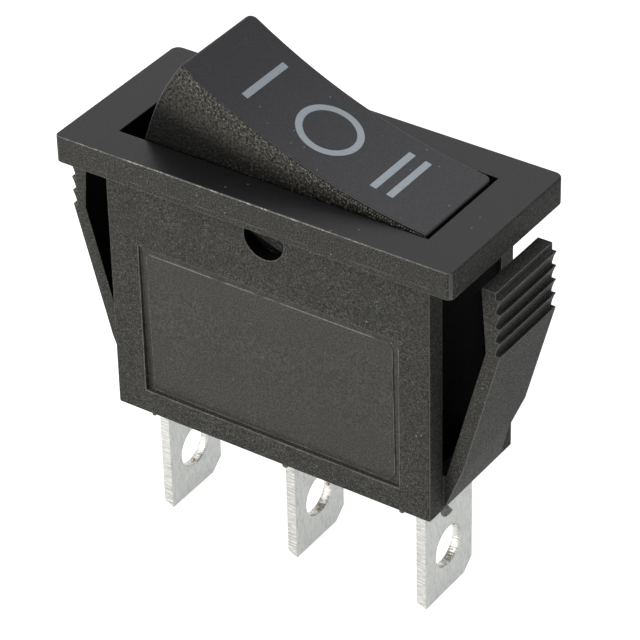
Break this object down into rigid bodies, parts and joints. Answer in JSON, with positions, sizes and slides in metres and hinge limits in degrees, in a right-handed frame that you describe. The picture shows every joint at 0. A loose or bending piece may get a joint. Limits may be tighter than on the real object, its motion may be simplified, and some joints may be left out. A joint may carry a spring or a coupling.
{
  "type": "rocker switch",
  "caption": "Snap-in panel rocker switch with off in the middle, a slim bezel, toothed spring arms and a row of flat blade terminals.",
  "frame": {"origin": "centre of the bezel's underside, the plane that seats on the panel", "axes": "+X along the switch towards its II end, +Y away from the label face, +Z out of the panel"},
  "size_m": [0.0344, 0.0138, 0.0385],
  "materials": {
    "housing_plastic": "black nylon, fine spark texture",
    "rocker_plastic": "black nylon, satin top, coarse sides",
    "plunger_plastic": "natural acetal",
    "spring_steel": "bright drawn wire",
    "lever_brass": "stamped strip",
    "contact_silver": "silver alloy",
    "tinned_brass": "bright tin plating over brass"
  },
  "bodies": {
    "housing_body": {"housing": "housing_plastic", "common_terminal": "tinned_brass", "throw_terminal_1": "tinned_brass", "throw_terminal_2": "tinned_brass", "throw_contact_1": "contact_silver", "throw_contact_2": "contact_silver"},
    "rocker_body": {"rocker": "rocker_plastic", "plunger_spring": "spring_steel"},
    "plunger_body": {"plunger": "plunger_plastic"},
    "lever_body": {"contact_lever": "lever_brass", "lever_contact_1": "contact_silver", "lever_contact_2": "contact_silver"}
  },
  "joints": [
    {"name": "rocker_tilt", "type": "hinge", "parent": "housing_body", "child": "rocker_body", "pos_m": [0, 0, -0.0018], "axis": [0, -1, 0], "range_deg": [0, 38.6]},
    {"name": "lever_rock", "type": "hinge", "parent": "housing_body", "child": "lever_body", "pos_m": [0, 0, -0.01415], "axis": [0, 1, 0], "range_deg": [0, 12]},
    {"name": "plunger_slide", "type": "slide", "parent": "rocker_body", "child": "plunger_body", "axis": [0.3305, 0, 0.9438], "range_m": [0, 0.0006], "stiffness_N_per_m": 50, "springref_m": -0.001, "deforming": ["plunger_spring"]}
  ],
  "couplings": [
    {"joint": "lever_rock", "follows": "rocker_tilt", "ratio": 0.31088}
  ]
}
